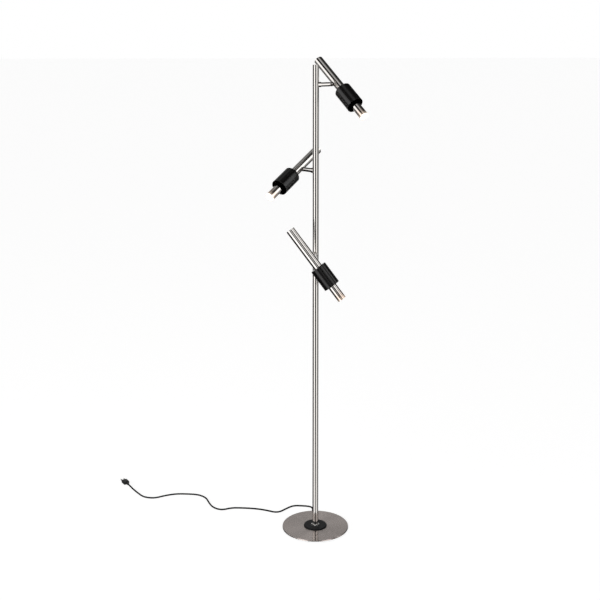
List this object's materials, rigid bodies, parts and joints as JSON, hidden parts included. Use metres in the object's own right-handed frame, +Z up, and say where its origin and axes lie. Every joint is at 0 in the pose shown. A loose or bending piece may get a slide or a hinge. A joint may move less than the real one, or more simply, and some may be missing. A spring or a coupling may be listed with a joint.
{
  "type": "floor lamp",
  "caption": "Tree floor lamp: thin round weighted base, slim two-part pole, and spot heads on swivelling arms, each a metal tube with an LED through an open black collar.",
  "frame": {"origin": "centre of the base's underside, on the floor", "axes": "+Z up along the pole; +X to the right and +Y away from a viewer who faces the lamp as in the picture, so the mains lead leaves at the back"},
  "size_m": [0.9906, 0.5458, 1.7531],
  "materials": {
    "brushed_nickel": "satin",
    "brushed_base": "satin",
    "bright_ring": "polished",
    "black_disc": "satin",
    "black_collar": "satin",
    "plated_steel": "satin",
    "plated_brass": "polished",
    "cast_weight": "matte",
    "foam_pad": "matte",
    "aluminium_core": "satin",
    "white_board": "matte",
    "lit_lens": "satin",
    "driver_case": "matte",
    "black_rubber": "matte",
    "black_cord": "satin",
    "black_plug": "satin"
  },
  "bodies": {
    "stand": {"base_pad": "foam_pad", "base_weight": "cast_weight", "base_cover": "brushed_base", "base_disc": "black_disc", "pole_foot": "plated_steel", "foot_screws": "plated_steel", "pole_ring": "bright_ring", "pole_lower": "brushed_nickel", "pole_coupler": "plated_steel", "pole_upper": "brushed_nickel", "pole_cap": "brushed_nickel", "cord_gland": "black_rubber", "inner_lead": "black_cord", "mains_cord": "black_cord", "plug_body": "black_plug", "plug_pins": "plated_brass", "swivel_bush_top": "brushed_nickel", "thrust_washer_top": "plated_steel", "swivel_bush_middle": "brushed_nickel", "thrust_washer_middle": "plated_steel", "swivel_bush_bottom": "brushed_nickel", "thrust_washer_bottom": "plated_steel"},
    "arm_top": {"arm_stem_top": "brushed_nickel", "arm_nut_top": "plated_steel"},
    "head_top": {"knuckle_top": "brushed_nickel", "tilt_screw_top": "plated_steel", "knuckle_nut_top": "plated_steel", "head_tube_top": "brushed_nickel", "tube_cap_top": "brushed_nickel", "collar_top": "black_collar", "led_heatsink_top": "aluminium_core", "led_board_top": "white_board", "lens_top": "lit_lens", "driver_top": "driver_case"},
    "arm_middle": {"arm_stem_middle": "brushed_nickel", "arm_nut_middle": "plated_steel"},
    "head_middle": {"knuckle_middle": "brushed_nickel", "tilt_screw_middle": "plated_steel", "knuckle_nut_middle": "plated_steel", "head_tube_middle": "brushed_nickel", "tube_cap_middle": "brushed_nickel", "collar_middle": "black_collar", "led_heatsink_middle": "aluminium_core", "led_board_middle": "white_board", "lens_middle": "lit_lens", "driver_middle": "driver_case"},
    "arm_bottom": {"arm_stem_bottom": "brushed_nickel", "arm_nut_bottom": "plated_steel"},
    "head_bottom": {"knuckle_bottom": "brushed_nickel", "tilt_screw_bottom": "plated_steel", "knuckle_nut_bottom": "plated_steel", "head_tube_bottom": "brushed_nickel", "tube_cap_bottom": "brushed_nickel", "collar_bottom": "black_collar", "led_heatsink_bottom": "aluminium_core", "led_board_bottom": "white_board", "lens_bottom": "lit_lens", "driver_bottom": "driver_case"}
  },
  "joints": [
    {"name": "swivel_top", "type": "hinge", "parent": "stand", "child": "arm_top", "pos_m": [0, 0, 1.665], "axis": [0.9397, 0.342, 0], "range_deg": [-111.5, 218.5]},
    {"name": "tilt_top", "type": "hinge", "parent": "arm_top", "child": "head_top", "pos_m": [0.05356, 0.01949, 1.665], "axis": [0.2034, -0.559, 0.8039], "range_deg": [-30, 7]},
    {"name": "swivel_middle", "type": "hinge", "parent": "stand", "child": "arm_middle", "pos_m": [0, 0, 1.3685], "axis": [-0.766, 0.6428, 0], "range_deg": [-228.8, 101.2]},
    {"name": "tilt_middle", "type": "hinge", "parent": "arm_middle", "child": "head_middle", "pos_m": [-0.04367, 0.03664, 1.3685], "axis": [0.2838, 0.3382, -0.8973], "range_deg": [-12.3, 24.7]},
    {"name": "swivel_bottom", "type": "hinge", "parent": "stand", "child": "arm_bottom", "pos_m": [0, 0, 1.072], "axis": [-0.1736, -0.9848, 0], "range_deg": [-202.7, 127.3]},
    {"name": "tilt_bottom", "type": "hinge", "parent": "arm_bottom", "child": "head_bottom", "pos_m": [-0.0099, -0.05613, 1.072], "axis": [-0.7792, 0.1374, -0.6115], "range_deg": [-16.1, 20.9]}
  ]
}
